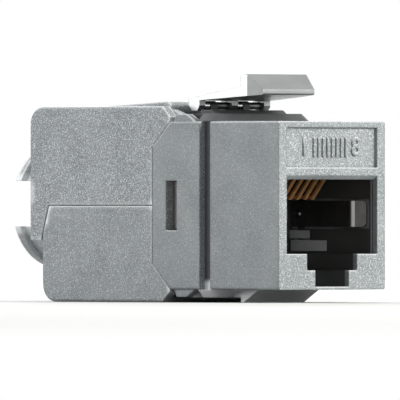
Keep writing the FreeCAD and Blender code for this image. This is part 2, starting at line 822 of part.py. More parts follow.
def add_collar(body, s, at, side, start, gap):
    """Half of the cable collar: a tube with an outer lip, cut off flat where the other half begins."""
    sketch = draw(body, "side", 0, [[(y, radius * side) for y, radius in [
        (start, at.collar_bore), (s.overall_length, at.collar_bore), (s.overall_length, s.lip_radius),
        (at.lip_front, s.lip_radius), (at.lip_front, s.collar_radius), (start, s.collar_radius)]]])
    collar = body.newObject("PartDesign::Revolution", f"{body.Name}_collar")
    collar.Profile = sketch
    collar.ReferenceAxis = (sketch, ["H_Axis"])
    collar.Angle = 180
    collar.Midplane = True
    body.Document.recompute()
    span = s.lip_radius * 2 + BEYOND
    cut(body, "face", start, s.overall_length + BEYOND, centred(span, 0, gap * side))


def add_ramp(body, s, at, side, nose_y, ceiling, crown, top):
    """The thumb ramp on a wing: a bar with a round nose at the front, level with the panel at its end."""
    r = s.nose_radius
    nose = arc(nose_y + r, crown - r, r, 180, 90, NOSE_STEPS)
    outline = [(nose_y + r, ceiling), (nose_y, ceiling + s.panel_wall / 2)] + nose + [
        (nose_y + s.ramp_length, top), (nose_y + s.ramp_length, ceiling)]
    pad_across(body, at.panel_width, [(y, z * side) for y, z in outline])


def add_arms(body, s, at, side, nose_y, ceiling, crown):
    """The two arms that carry a wing on its hinge pin, each ending in a round knuckle."""
    k = s.knuckle_radius
    under_nose = crown - s.nose_radius * 2
    root = nose_y + s.arm_root
    arm = [
        (at.hinge_y, at.hinge_z),
        (at.hinge_y + k * math.cos(ARM_ANGLE), at.hinge_z + k * math.sin(ARM_ANGLE)),
        (nose_y - s.nose_radius, under_nose), (nose_y + s.nose_radius * 2, ceiling + s.panel_wall / 2),
        (root, ceiling + s.panel_wall / 2), (root, ceiling), (at.hinge_y + k, at.hinge_z)]
    width = s.arm_notch - s.knuckle_fit * 2
    for hand in (1, -1):
        pad_across(body, width, Circle(at.hinge_y, at.hinge_z * side, k), at=at.notch_middle * hand)
        pad_across(body, width, [(y, z * side) for y, z in arm], at=at.notch_middle * hand)
    cut_across(body, at.bay_width, Circle(at.hinge_y, at.hinge_z * side, s.hinge_radius + s.hinge_fit))


def build_wing(doc, s, at, side):
    """One wing: a shell over the terminals that turns on its pin, with half of the cable collar."""
    upper = side > 0
    body = new_body(doc, "upper_wing" if upper else "lower_wing")
    top = at.wing_top if upper else at.wing_bottom
    back = at.upper_back if upper else at.lower_back
    shell = pad_across(body, s.face_width, wing_outline(s, at, side, top, back))
    doc.recompute()
    shell = round_edges(body, shell, s.wing_round, edges_near(shell, "x", [(back, top * side)]))
    low = (top - s.wing_round).value - NEAR
    front = (at.seam_front + s.corner_run).value
    rim = outline_edges(shell, lambda p: abs(abs(p.x) - at.half_width.value) < NEAR
                        and p.z * side > low and p.y > front)
    round_edges(body, shell, s.wing_edge, rim)
    ceiling = top - s.panel_wall
    wall = back - s.rear_wall
    under_tail = -s.tail_drop - BEYOND
    cut_across(body, at.bay_width, [(y, z * side) for y, z in [
        (at.frame_front, under_tail), (at.frame_front, ceiling), (wall, ceiling),
        (wall, s.seam_gap / 2), (back + BEYOND, s.seam_gap / 2), (back + BEYOND, under_tail)]])
    nose_y = at.seam_front + s.panel_setback
    nose_end = nose_y + s.nose_radius
    cut_across(body, at.bay_width, [(y, z * side) for y, z in box(
        at.frame_front, ceiling - BEYOND, nose_end, top + BEYOND)])
    crown = top + s.ramp_rise if upper else top - s.lower_nose_sink
    add_ramp(body, s, at, side, nose_y, ceiling, crown, top)
    rib = at.stop_rib_front
    pad(body, "face", rib, rib + s.stop_rib,
        [(x, z * side) for x, z in centred(at.bay_width, s.seam_gap / 2, ceiling)])
    add_arms(body, s, at, side, nose_y, ceiling, crown)
    add_collar(body, s, at, side, wall, s.upper_collar_cut if upper else s.lower_collar_cut)
    cut(body, "face", wall - s.seam_gap, back + s.seam_gap, Circle(0, 0, at.collar_bore))
    cut(body, "face", rib, rib + s.stop_rib, Circle(0, 0, s.cable_hole))
    return body


def build_circuit_board(doc, s, at):
    """The board between the contacts and the terminals, drilled for both."""
    body = new_body(doc, "circuit_board")
    pad(body, "face", at.board_front, at.board_back,
        centred(at.core_width, -at.board_half_height, at.board_half_height))
    wide = s.contact_width / 2 + s.contact_fit
    tall = s.contact_thickness / 2 + s.contact_fit
    left = at.first_contact
    hole = cut(body, "face", at.board_front, at.board_back,
               box(left - wide, s.contact_height - tall, left + wide, s.contact_height + tall))
    repeat(body, hole, "x", s.contact_pitch, CONTACTS)
    pin = s.terminal_pin / 2 + s.terminal_fit
    flat = s.terminal_thickness / 2 + s.terminal_fit
    first = at.first_terminal
    for side in (1, -1):
        level = at.blade_level * side
        slot = cut(body, "face", at.board_front, at.board_back,
                   box(first - pin, level - flat, first + pin, level + flat))
        repeat(body, slot, "x", s.terminal_pitch, TERMINALS_IN_ROW)
    return body


def build_terminal_block(doc, s, at):
    """The plastic block behind the board: two rows of slotted towers and a snap tab on each side."""
    body = new_body(doc, "terminal_block")
    pad(body, "face", at.board_back + s.board_gap, at.block_back,
        centred(at.core_width, -at.board_half_height, at.board_half_height))
    first = at.first_terminal
    half = s.tower_height / 2
    for side in (1, -1):
        level = s.row_height * side
        pad(body, "face", at.block_back, at.tower_back, centred(at.terminal_span, level - half, level + half))
        wide = s.wire_slot_width / 2
        slot = cut(body, "face", at.tower_back - s.wire_slot_depth, at.tower_back,
                   box(first - wide, level - half, first + wide, level + half))
        repeat(body, slot, "x", s.terminal_pitch, TERMINALS_IN_ROW)
        plate = at.blade_level * side
        flat = s.terminal_thickness / 2 + s.terminal_fit
        reach = s.terminal_width / 2 + s.terminal_fit
        blade = cut(body, "face", at.board_back, at.tower_back,
                    box(first - reach, plate - flat, first + reach, plate + flat))
        repeat(body, blade, "x", s.terminal_pitch, TERMINALS_IN_ROW)
    window = at.frame_front + s.window_start + s.tab_play
    window_end = window + s.window_length - s.tab_play * 2
    edge = at.core_width / 2
    low = -s.tab_height / 2
    for hand in (1, -1):
        pad(body, "plan", low, low + s.tab_height, [
            (edge * hand, window), ((edge + s.tab_rise) * hand, window),
            ((edge + s.tab_rise) * hand, window + s.tab_lip), (edge * hand, window_end)])
    return body


def build_terminal(doc, s, at, number):
    """One terminal: a forked blade whose slot cuts through the wire's insulation, with a board pin."""
    body = new_body(doc, f"idc_terminal_{number}")
    side = 1 if number <= TERMINALS_IN_ROW else -1
    column = (number - 1) % TERMINALS_IN_ROW
    x = at.first_terminal + s.terminal_pitch * column
    level = at.blade_level * side
    low = level - s.terminal_thickness / 2
    half = s.terminal_width / 2
    pin = s.terminal_pin / 2
    shoulder = at.board_back + s.board_gap + s.terminal_fit
    end = at.tower_back - s.terminal_inset
    mouth = s.terminal_slot / 2
    throat = end - s.terminal_slot_depth
    lead = s.terminal_inset
    pad(body, "plan", low, low + s.terminal_thickness, [
        (x - pin, at.board_front), (x + pin, at.board_front), (x + pin, shoulder), (x + half, shoulder),
        (x + half, end), (x + mouth + lead, end), (x + mouth, end - lead), (x + mouth, throat),
        (x - mouth, throat), (x - mouth, end - lead), (x - mouth - lead, end), (x - half, end),
        (x - half, shoulder), (x - pin, shoulder)])
    return body


def build_wire_manager(doc, s, at):
    """The plastic cap over the towers: a round way for the cable and a notch for each wire."""
    body = new_body(doc, "wire_manager")
    end = at.stop_rib_front - s.manager_fit
    start = end - s.manager_length
    pad(body, "face", start, end, centred(at.core_width, -at.board_half_height, at.board_half_height))
    span = at.terminal_span + s.manager_fit * 2
    half = s.tower_height / 2 + s.manager_fit
    for side in (1, -1):
        level = s.row_height * side
        cut(body, "face", start, end - s.manager_back, centred(span, level - half, level + half))
    cut(body, "face", start, end, Circle(0, 0, s.manager_hole))
    first = at.first_terminal
    wide = s.wire_slot_width / 2
    edge = at.board_half_height
    for side in (1, -1):
        levels = sorted([s.manager_hole / 2 * side, edge * side], key=lambda level: level.value)
        notch = cut(body, "face", end - s.wire_slot_width, end,
                    box(first - wide, levels[0], first + wide, levels[1]))
        repeat(body, notch, "x", s.terminal_pitch, TERMINALS_IN_ROW)
    return body


def build_all(doc, s):
    """Builds every piece and returns the bodies."""
    at = Layout(s)
    bodies = [
        build_front_housing(doc, s, at),
        build_contact_carrier(doc, s, at),
        build_latch_frame(doc, s, at),
        build_latch_lever(doc, s, at),
        build_latch_pin(doc, s, at),
        build_rear_frame(doc, s, at),
        build_circuit_board(doc, s, at),
        build_terminal_block(doc, s, at),
        build_wire_manager(doc, s, at),
    ]
    bodies += [build_contact(doc, s, at, number) for number in range(1, CONTACTS + 1)]
    bodies += [build_terminal(doc, s, at, number) for number in range(1, 2 * TERMINALS_IN_ROW + 1)]
    bodies += [build_latch_spring(doc, s, at, number) for number in (1, 2)]
    for side in (1, -1):
        bodies.append(build_ground_spring(doc, s, at, side))
        bodies.append(build_hinge_pin(doc, s, at, side))
        bodies.append(build_wing(doc, s, at, side))
    for body in bodies:
        bind(body, ".Placement.Base.y", -s.overall_length / 2)
        bind(body, ".Placement.Base.z", at.wing_bottom)
    doc.recompute()
    return bodies


def check(doc, bodies):
    """Stops the build where a feature failed, cut nothing, or left a piece that is not one closed solid."""
    for thing in doc.Objects:
        if "Invalid" in thing.State or "Error" in thing.State:
            raise RuntimeError(f"{thing.Label}: {thing.State}")
        if thing.TypeId == "PartDesign::Pocket" and thing.BaseFeature is not None:
            if thing.Shape.Volume > thing.BaseFeature.Shape.Volume - NEAR:
                raise RuntimeError(f"{thing.Label} cuts nothing")
    for body in bodies:
        if body.Shape.isNull() or not body.Shape.isValid() or len(body.Shape.Solids) != 1:
            raise RuntimeError(f"{body.Label}: not one valid solid")


def main():
    """Builds the document, checks it and writes one file for each piece."""
    doc = FreeCAD.newDocument("keystone_jack")
    bodies = build_all(doc, Sheet(doc))
    check(doc, bodies)
    os.makedirs("parts", exist_ok=True)
    for body in bodies:
        body.Shape.exportStep(os.path.join("parts", f"{body.Label}.step"))
        print(body.Label, round(body.Shape.Volume, 3), body.Shape.BoundBox)


main()
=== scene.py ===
"""Dresses a die-cast keystone jack: the finish of every piece, its small trim, and a plain studio.

Everything is in metres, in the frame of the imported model: X to the right, Y from the port towards
the cable and Z up from the floor that the jack stands on.
"""

from __future__ import annotations

import json
import logging
import math
from collections.abc import Mapping
from dataclasses import dataclass
from enum import Enum

import bmesh
import bpy
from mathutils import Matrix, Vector


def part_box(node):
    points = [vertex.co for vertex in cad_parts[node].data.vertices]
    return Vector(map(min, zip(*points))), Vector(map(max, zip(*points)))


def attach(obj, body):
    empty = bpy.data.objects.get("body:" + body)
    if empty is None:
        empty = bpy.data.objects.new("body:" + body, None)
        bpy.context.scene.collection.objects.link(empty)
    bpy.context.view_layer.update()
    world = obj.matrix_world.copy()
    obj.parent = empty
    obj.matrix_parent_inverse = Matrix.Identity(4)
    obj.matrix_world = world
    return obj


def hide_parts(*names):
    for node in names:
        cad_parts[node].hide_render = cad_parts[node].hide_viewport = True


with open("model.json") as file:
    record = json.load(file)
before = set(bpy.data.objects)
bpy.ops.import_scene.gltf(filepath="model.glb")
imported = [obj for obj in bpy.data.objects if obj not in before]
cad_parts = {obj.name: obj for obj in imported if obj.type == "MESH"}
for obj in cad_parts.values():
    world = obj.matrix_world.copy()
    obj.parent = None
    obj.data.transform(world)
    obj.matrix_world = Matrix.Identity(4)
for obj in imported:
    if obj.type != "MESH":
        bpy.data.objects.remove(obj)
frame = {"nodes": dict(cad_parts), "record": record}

LOG = logging.getLogger("keystone_jack")

MM = 0.001

Colour = tuple[float, float, float]
Point = tuple[float, float, float]
Span = tuple[float, float]  # the two ends of a length, or where a mask starts and is full
Input = "Value | bpy.types.NodeSocket | float | tuple[float, ...]"

WHITE: Colour = (1.0, 1.0, 1.0)
UP: Point = (0.0, 0.0, 1.0)
DOWN: Point = (0.0, 0.0, -1.0)
BACKWARDS: Point = (0.0, 1.0, 0.0)
NOISE_MEAN = 0.5

# The numbers of the sockets that a Mix node uses for colours.
MIX_FACTOR, MIX_FIRST, MIX_SECOND, MIX_RESULT = 0, 6, 7, 2


class Body(Enum):
    """The bodies that the new pieces ride on."""

    HOUSING = "housing"
    LOWER_WING = "lower_wing"


class Slot(Enum):
    """The record's material slots."""

    CAST = "zinc_cast"
    SMOOTH = "zinc_smooth"
    INSERT = "black_plastic"
    CONTACT = "gold_contact"
    LEAF = "tinned_leaf"
    PIN = "steel_pin"
    SPRING = "spring_steel"
    BOARD = "board"
    BLOCK = "block_plastic"
    MANAGER = "manager_plastic"
    TERMINAL = "terminal_bronze"


class Value:
    """A number that a shader works out, written with ordinary arithmetic."""

    def __init__(self, graph: Graph, socket: bpy.types.NodeSocket) -> None:
        """Wraps the output socket that carries the number, and the nodes that it is among."""
        self.graph = graph
        self.socket = socket

    def math(self, operation: str, *others: Input, clamp: bool = False) -> Value:
        """Adds one Math node.

        Args:
            operation: The node's operation, such as ADD.
            others: Its further operands.
            clamp: Whether the result is kept from 0 to 1.

        Returns:
            The result.
        """
        settings = {"operation": operation, "use_clamp": clamp}
        made = self.graph.node("ShaderNodeMath", settings, dict(enumerate((self, *others))))
        return Value(self.graph, made.outputs["Value"])

    def __add__(self, other: Input) -> Value:
        """Adds other to this."""
        return self.math("ADD", other)

    def __radd__(self, other: Input) -> Value:
        """Adds this to other."""
        return self.math("ADD", other)

    def __sub__(self, other: Input) -> Value:
        """Takes other from this."""
        return self.math("SUBTRACT", other)

    def __rsub__(self, other: float) -> Value:
        """Takes this from a plain number."""
        return self.math("MULTIPLY", -1.0) + other

    def __mul__(self, other: Input) -> Value:
        """Multiplies this by other."""
        return self.math("MULTIPLY", other)

    def __rmul__(self, other: Input) -> Value:
        """Multiplies other by this."""
        return self.math("MULTIPLY", other)

    def band(self, low: float, high: float) -> Value:
        """Rises smoothly from 0 at low to 1 at high.

        Args:
            low: Where the rise starts.
            high: Where it ends.

        Returns:
            The eased value, from 0 to 1.
        """
        made = self.graph.node("ShaderNodeMapRange", {"interpolation_type": "SMOOTHSTEP"},
                               {"Value": self, "From Min": low, "From Max": high})
        return Value(self.graph, made.outputs["Result"])


class Graph:
    """The nodes of one material or world."""

    EASING_SAMPLES = 4
    CLOSENESS_SAMPLES = 6

    def __init__(self, tree: bpy.types.NodeTree) -> None:
        """Empties the node tree that is to be filled."""
        self.tree = tree
        tree.nodes.clear()

    def node(self, kind: str, settings: Mapping[str, object] | None = None,
             inputs: Mapping[str | int, Input] | None = None) -> bpy.types.Node:
        """Makes any node.

        Args:
            kind: The node's type.
            settings: Its own settings, which are set first.
            inputs: Values or links by socket name or number.

        Returns:
            The node.
        """
        made = self.tree.nodes.new(kind)
        for key, value in (settings or {}).items():
            setattr(made, key, value)
        for key, value in (inputs or {}).items():
            socket = made.inputs[key]
            if isinstance(value, Value):
                value = value.socket
            if isinstance(value, bpy.types.NodeSocket):
                self.tree.links.new(value, socket)
            else:
                socket.default_value = value
        return made

    def place(self) -> bpy.types.NodeSocket:
        """Returns the point on the piece, in its own metres."""
        return self.node("ShaderNodeTexCoord").outputs["Object"]

    def noise(self, size: float, detail: float = 2.0, roughness: float = 0.5,
              stretch: Point | None = None) -> Value:
        """Makes an even random pattern.

        Args:
            size: The width of its spots, in metres.
            detail: How many finer patterns are laid over it.
            roughness: How strong the finer patterns are.
            stretch: How much it is drawn out along X, Y and Z, if at all.

        Returns:
            The pattern, about NOISE_MEAN on average.
        """
        place = self.place()
        if stretch is not None:
            squeeze = tuple(1.0 / part for part in stretch)
            place = self._vector_math("MULTIPLY", place, squeeze).outputs["Vector"]
        made = self.node("ShaderNodeTexNoise", None, {
            "Vector": place, "Scale": 1.0 / size, "Detail": detail, "Roughness": roughness})
        return Value(self, made.outputs["Fac"])

    def blend(self, factor: Input, first: Input, second: Input) -> bpy.types.NodeSocket:
        """Mixes two colours.

        Args:
            factor: 0 for the first, 1 for the second.
            first: A colour or a link.
            second: A colour or a link.

        Returns:
            The mixed colour.
        """
        colours = {MIX_FIRST: self._opaque(first), MIX_SECOND: self._opaque(second)}
        made = self.node("ShaderNodeMix", {"data_type": "RGBA"}, {MIX_FACTOR: factor, **colours})
        return made.outputs[MIX_RESULT]

    def _vector_math(self, operation: str, *operands: Input) -> bpy.types.Node:
        """Returns a new Vector Math node for one operation."""
        inputs = dict(enumerate(operands))
        return self.node("ShaderNodeVectorMath", {"operation": operation}, inputs)

    @staticmethod
    def _opaque(colour: Input) -> Input:
        """Gives a plain colour its fourth channel, and leaves a link as it is."""
        return (*colour, 1.0) if isinstance(colour, tuple) else colour

    def height(self) -> Value:
        """Returns how high a point lies on the object, in metres."""
        parts = self.node("ShaderNodeSeparateXYZ", None, {"Vector": self.place()})
        return Value(self, parts.outputs["Z"])

    def soft_edge(self, radius: float) -> bpy.types.NodeSocket:
        """Returns the direction of the surface with its edges eased by a radius, in metres."""
        eased = self.node("ShaderNodeBevel", {"samples": self.EASING_SAMPLES}, {"Radius": radius})
        return eased.outputs["Normal"]

    def edge(self, reach: float) -> Value:
        """Returns 0 on a flat or in a corner, rising within reach metres of a standing edge."""
        return self._closeness(reach, inside=True)

    def hollow(self, reach: float) -> Value:
        """Returns 0 on an open face, rising where another face is within reach metres."""
        return self._closeness(reach, inside=False)

    def _closeness(self, reach: float, inside: bool) -> Value:
        """Measures how much of the piece's own surface lies close to a point.

        Args:
            reach: How far it is looked for, in metres.
            inside: Whether it is looked for through the piece's body, not in front of its face.

        Returns:
            0 with none of it near, rising towards 1.
        """
        settings = {"samples": self.CLOSENESS_SAMPLES, "inside": inside, "only_local": True}
        made = self.node("ShaderNodeAmbientOcclusion", settings, {"Distance": reach})
        return 1.0 - Value(self, made.outputs["AO"])

    def along(self, direction: Point, normal: bpy.types.NodeSocket | None = None) -> Value:
        """Measures how far a surface looks along one direction.

        Args:
            direction: The direction, of length 1.
            normal: The direction that the surface looks in, if not the flat's own.

        Returns:
            1 along it, 0 square to it and -1 against it.
        """
        normal = normal or self.node("ShaderNodeNewGeometry").outputs["True Normal"]
        dot = self._vector_math("DOT_PRODUCT", normal, direction)
        return Value(self, dot.outputs["Value"])

    def from_middle(self) -> Value:
        """Returns how far a point lies from the object's middle, in metres."""
        return Value(self, self._vector_math("LENGTH", self.place()).outputs["Value"])

    def bump(self, height: Value, depth: float, strength: float,
             normal: bpy.types.NodeSocket | None = None) -> bpy.types.NodeSocket:
        """Turns a height into a direction.

        Args:
            height: The height, from 0 to 1.
            depth: How deep 1 is, in metres.
            strength: How much of it shows.
            normal: The direction to start from, if not the surface's own.

        Returns:
            The direction.
        """
        inputs = {"Height": height, "Distance": depth, "Strength": strength}
        if normal is not None:
            inputs["Normal"] = normal
        return self.node("ShaderNodeBump", None, inputs).outputs["Normal"]

    def surface(self, plain: Mapping[str, Input], **varied: Input) -> None:
        """Ends a material in one Principled surface.

        Args:
            plain: Values that are the same all over.
            varied: Links by socket name, with _ for a space.
        """
        links = {name.replace("_", " "): value for name, value in varied.items()}
        shader = self.node("ShaderNodeBsdfPrincipled", None, {**plain, **links})
        self.node("ShaderNodeOutputMaterial", None, {"Surface": shader.outputs["BSDF"]})


def new_material(name: str) -> tuple[bpy.types.Material, Graph]:
    """Makes an empty material.

    Args:
        name: Its name.

    Returns:
        The material and its nodes.
    """
    material = bpy.data.materials.new(name)
    material.use_nodes = True
    return material, Graph(material.node_tree)


@dataclass(frozen=True)
class CastZinc:
    """Die-cast zinc with a fine sprayed grain, painted shade in its hollows, and a painted
    highlight along its upper edges.
    """

    name: str = "cast_zinc"
    shade: Colour = (0.208, 0.230, 0.237)
    dark: Colour = (0.105, 0.118, 0.123)
    speck: Colour = (0.74, 0.78, 0.79)
    # edge is the pale colour of the clouds and of the painted highlights.
    edge: Colour = (0.90, 0.93, 0.94)
    # The colour of the shade painted into hollows.
    soil: Colour = (0.06, 0.066, 0.067)
    metallic: float = 0.25
    roughness: float = 0.66
    grain: float = 0.104 * MM
    grain_harshness: float = 0.75
    grain_gloss: float = 0.22
    grain_depth: float = 0.03 * MM
    grain_relief: float = 0.6
    pits: Span = (0.28, 0.50)
    specks: Span = (0.52, 0.72)
    side_grain: float = 0.42
    end_grain: float = 1.0
    cloud: float = 4.0 * MM
    clouds: Span = (0.2, 0.8)
    clouding: float = 0.07
    groove: float = 0.6 * MM
    grooves: Span = (0.3, 1.0)
    # How strongly shade is painted into hollows.
    soiling: float = 0.6
    wall: float = 0.9 * MM
    walls: Span = (0.48, 0.72)
    # How strongly thin walls get a painted highlight.
    thin_shine: float = 0.0
    easing: float = 0.23 * MM
    upward: Span = (0.05, 0.5)
    edges: Span = (0.02, 0.3)
    # How strongly the upper edges get a painted highlight.
    rubbing: float = 0.95

    def material(self) -> bpy.types.Material:
        """Makes the finish.

        Returns:
            The finish as a material.
        """
        material, graph = new_material(self.name)
        grain = graph.noise(self.grain, roughness=self.grain_harshness)
        eased = graph.soft_edge(self.easing)
        graph.surface(
            {"Metallic": self.metallic},
            Base_Color=self._rubbed(graph, self._aged(graph, self._skin(graph, grain)), eased),
            Roughness=self.roughness - grain * self.grain_gloss,
            Normal=graph.bump(grain, self.grain_depth, self.grain_relief, eased))
        return material

    def _skin(self, graph: Graph, grain: Value) -> bpy.types.NodeSocket:
        """Colours the fresh casting.

        Args:
            graph: The material's nodes.
            grain: The sprayed grain, which is stronger where the surface faces an end of the jack.

        Returns:
            The grey of the zinc, with its pits and specks.
        """
        ends = graph.along(BACKWARDS).math("ABSOLUTE")
        contrast = ends * (self.end_grain - self.side_grain) + self.side_grain
        pitted = graph.blend((1.0 - grain.band(*self.pits)) * contrast, self.shade, self.dark)
        return graph.blend(grain.band(*self.specks) * contrast, pitted, self.speck)

    def _aged(self, graph: Graph, skin: bpy.types.NodeSocket) -> bpy.types.NodeSocket:
        """Lays faint clouds over the skin, and painted shade into its hollows.

        Args:
            graph: The material's nodes.
            skin: The colour of the fresh casting.

        Returns:
            The colour with both.
        """
        cloud = graph.noise(self.cloud, detail=1.0)
        cloudy = graph.blend(cloud.band(*self.clouds) * self.clouding, skin, self.edge)
        # Painted shade: darker where the piece's own faces close in, as shade falls there.
        hollow = graph.hollow(self.groove).band(*self.grooves) * self.soiling
        return graph.blend(hollow, cloudy, self.soil)

    def _rubbed(self, graph: Graph, colour: bpy.types.NodeSocket,
                eased: bpy.types.NodeSocket) -> bpy.types.NodeSocket:
        """Brightens thin walls, where the finish asks for it, and the edges that look up.

        Args:
            graph: The material's nodes.
            colour: The colour so far.
            eased: The direction that the eased surface looks in.

        Returns:
            The colour with the painted highlights.
        """
        # Painted highlight on thin walls.
        if self.thin_shine:
            thin = graph.edge(self.wall).band(*self.walls) * self.thin_shine
            colour = graph.blend(thin, colour, self.edge)
        # Painted highlight along the edges that look up, where a lamp above and behind would glint.
        upper = graph.along(UP, eased).band(*self.upward)
        edges = graph.edge(self.easing).band(*self.edges)
        return graph.blend(upper * edges * self.rubbing, colour, self.edge)


@dataclass(frozen=True)
class SmoothZinc:
    """A smooth casting with a faint flow in its skin, with painted shade where it lies deep or
    looks down and a painted highlight on its edges.

    Where it is asked for, the light thrown up by the floor is painted on, bright up to a given
    height.
    """

    name: str = "smooth_zinc"
    shade: Colour = (0.20, 0.213, 0.215)
    sheen: Colour = (0.265, 0.28, 0.282)
    # The colour of the painted edge highlight.
    edge: Colour = (0.74, 0.76, 0.77)
    # The colour of the painted shade, in hollows and on faces that look down.
    soil: Colour = (0.022, 0.024, 0.024)
    # The colour of the light painted on near the floor.
    rubbed: Colour = (0.78, 0.80, 0.805)
    metallic: float = 0.5
    roughness: float = 0.36
    flow: float = 1.4 * MM
    flow_stretch: Point = (2.5, 1.0, 1.0)
    flows: Span = (0.3, 0.75)
    flowing: float = 0.6
    flow_gloss: float = 0.12
    fine: float = 0.06 * MM
    fine_depth: float = 0.01 * MM
    fine_relief: float = 0.25
    downward: Span = (0.15, 0.7)
    # How strongly shade is painted on faces that look down.
    dull_below: float = 0.0
    groove: float = 1.6 * MM
    grooves: Span = (0.1, 0.8)
    # How strongly shade is painted into hollows.
    soiling: float = 0.6
    # The height up to which floor light is painted on, and its fade.
    rubbed_below: float = 0.0
    rubbed_fade: float = 0.6 * MM
    easing: float = 0.1 * MM
    edges: Span = (0.25, 0.75)
    # How strongly edges get a painted highlight.
    rubbing: float = 0.5

    def material(self) -> bpy.types.Material:
        """Makes the finish.

        Returns:
            The finish as a material.
        """
        material, graph = new_material(self.name)
        flow = graph.noise(self.flow, detail=3.0, stretch=self.flow_stretch)
        fine = graph.noise(self.fine, detail=1.0)
        # Painted shade on faces that look down.
        below = graph.along(DOWN).band(*self.downward) * self.dull_below
        colour = graph.blend(flow.band(*self.flows) * self.flowing, self.shade, self.sheen)
        colour = graph.blend(below, colour, self.soil)
        # Painted shade where the piece's own faces close in.
        hollow = graph.hollow(self.groove).band(*self.grooves) * self.soiling
        colour = graph.blend(hollow, colour, self.soil)
        # Painted floor light: brighter near the foot, as light thrown up from the floor would make
        # it.
        if self.rubbed_below:
            high = graph.height().band(self.rubbed_below, self.rubbed_below + self.rubbed_fade)
            colour = graph.blend(high, self.rubbed, colour)
        # Painted highlight on edges, kept off faces that look down.
        edges = graph.edge(self.easing).band(*self.edges) * self.rubbing * (1.0 - below)
        eased = graph.soft_edge(self.easing)
        graph.surface(
            {"Metallic": self.metallic},
            Base_Color=graph.blend(edges, colour, self.edge),
            Roughness=self.roughness + (flow - NOISE_MEAN) * self.flow_gloss,
            Normal=graph.bump(fine, self.fine_depth, self.fine_relief, eased))
        return material


@dataclass(frozen=True)
class MouldedPlastic:
    """Injection-moulded plastic, from glossy to matt."""

    name: str
    shade: Colour
    tint: Colour
    roughness: float
    flow: float = 2.5 * MM
    flow_stretch: Point = (1.0, 2.0, 1.0)
    flows: Span = (0.3, 0.7)
    texture: float = 0.09 * MM
    texture_gloss: float = 0.12
    depth: float = 0.01 * MM
    relief: float = 0.15
    easing: float = 0.08 * MM

    def material(self) -> bpy.types.Material:
        """Makes the finish.

        Returns:
            The finish as a material.
        """
        material, graph = new_material(self.name)
        texture = graph.noise(self.texture)
        flow = graph.noise(self.flow, detail=1.0, stretch=self.flow_stretch)
        graph.surface(
            {"Metallic": 0.0},
            Base_Color=graph.blend(flow.band(*self.flows), self.shade, self.tint),
            Roughness=self.roughness + (texture - NOISE_MEAN) * self.texture_gloss,
            Normal=graph.bump(texture, self.depth, self.relief, graph.soft_edge(self.easing)))
        return material


@dataclass(frozen=True)
class Metal:
    """Rolled, drawn or plated metal, with fine lines along one direction.

    Where it is asked for, a highlight is painted on a crest that looks forwards and aside.
    """

    name: str
    shade: Colour
    tint: Colour
    roughness: float
    metallic: float = 1.0
    along: Point = (1.0, 14.0, 1.0)
    line: float = 0.05 * MM
    line_depth: float = 0.004 * MM
    line_relief: float = 0.3
    patch: float = 0.9 * MM
    patch_gloss: float = 0.16
    patches: Span = (0.3, 0.7)
    easing: float = 0.03 * MM
    # The colour of the highlight painted on the crest.
    crest: Colour = (0.27, 0.262, 0.255)
    crest_side: float = 0.70
    crest_front: float = -0.714
    crests: Span = (0.966, 0.984)
    # How strongly the crest's highlight is painted.
    polish: float = 0.0

    def material(self) -> bpy.types.Material:
        """Makes the finish.

        Returns:
            The finish as a material.
        """
        material, graph = new_material(self.name)
        lines = graph.noise(self.line, stretch=self.along)
        patch = graph.noise(self.patch)
        mixed = lines * 0.5 + patch * 0.5
        colour = graph.blend(mixed.band(*self.patches), self.shade, self.tint)
        # Painted highlight on faces that look forwards and aside.
        if self.polish:
            left = graph.along((-self.crest_side, self.crest_front, 0.0))
            right = graph.along((self.crest_side, self.crest_front, 0.0))
            crown = left.math("MAXIMUM", right).band(*self.crests)
            colour = graph.blend(crown * self.polish, colour, self.crest)
        eased = graph.soft_edge(self.easing)
        graph.surface(
            {"Metallic": self.metallic},
            Base_Color=colour,
            Roughness=self.roughness + (patch - NOISE_MEAN) * self.patch_gloss,
            Normal=graph.bump(lines, self.line_depth, self.line_relief, eased))
        return material


@dataclass(frozen=True)
class BoardLaminate:
    """Circuit board with a green mask, the weave showing faintly through it."""

    name: str = "board_laminate"
    mask: Colour = (0.015, 0.10, 0.045)
    light: Colour = (0.04, 0.20, 0.09)
    roughness: float = 0.34
    thread: float = 0.35 * MM
    thread_stretch: Point = (1.0, 1.0, 3.0)
    threads: Span = (0.35, 0.65)
    thread_gloss: float = 0.1
    depth: float = 0.01 * MM
    relief: float = 0.2

    def material(self) -> bpy.types.Material:
        """Makes the finish.

        Returns:
            The finish as a material.
        """
        material, graph = new_material(self.name)
        weave = graph.noise(self.thread, detail=1.0, stretch=self.thread_stretch)
        graph.surface(
            {"Metallic": 0.0},
            Base_Color=graph.blend(weave.band(*self.threads), self.mask, self.light),
            Roughness=self.roughness + weave * self.thread_gloss,
            Normal=graph.bump(weave, self.depth, self.relief))
        return material


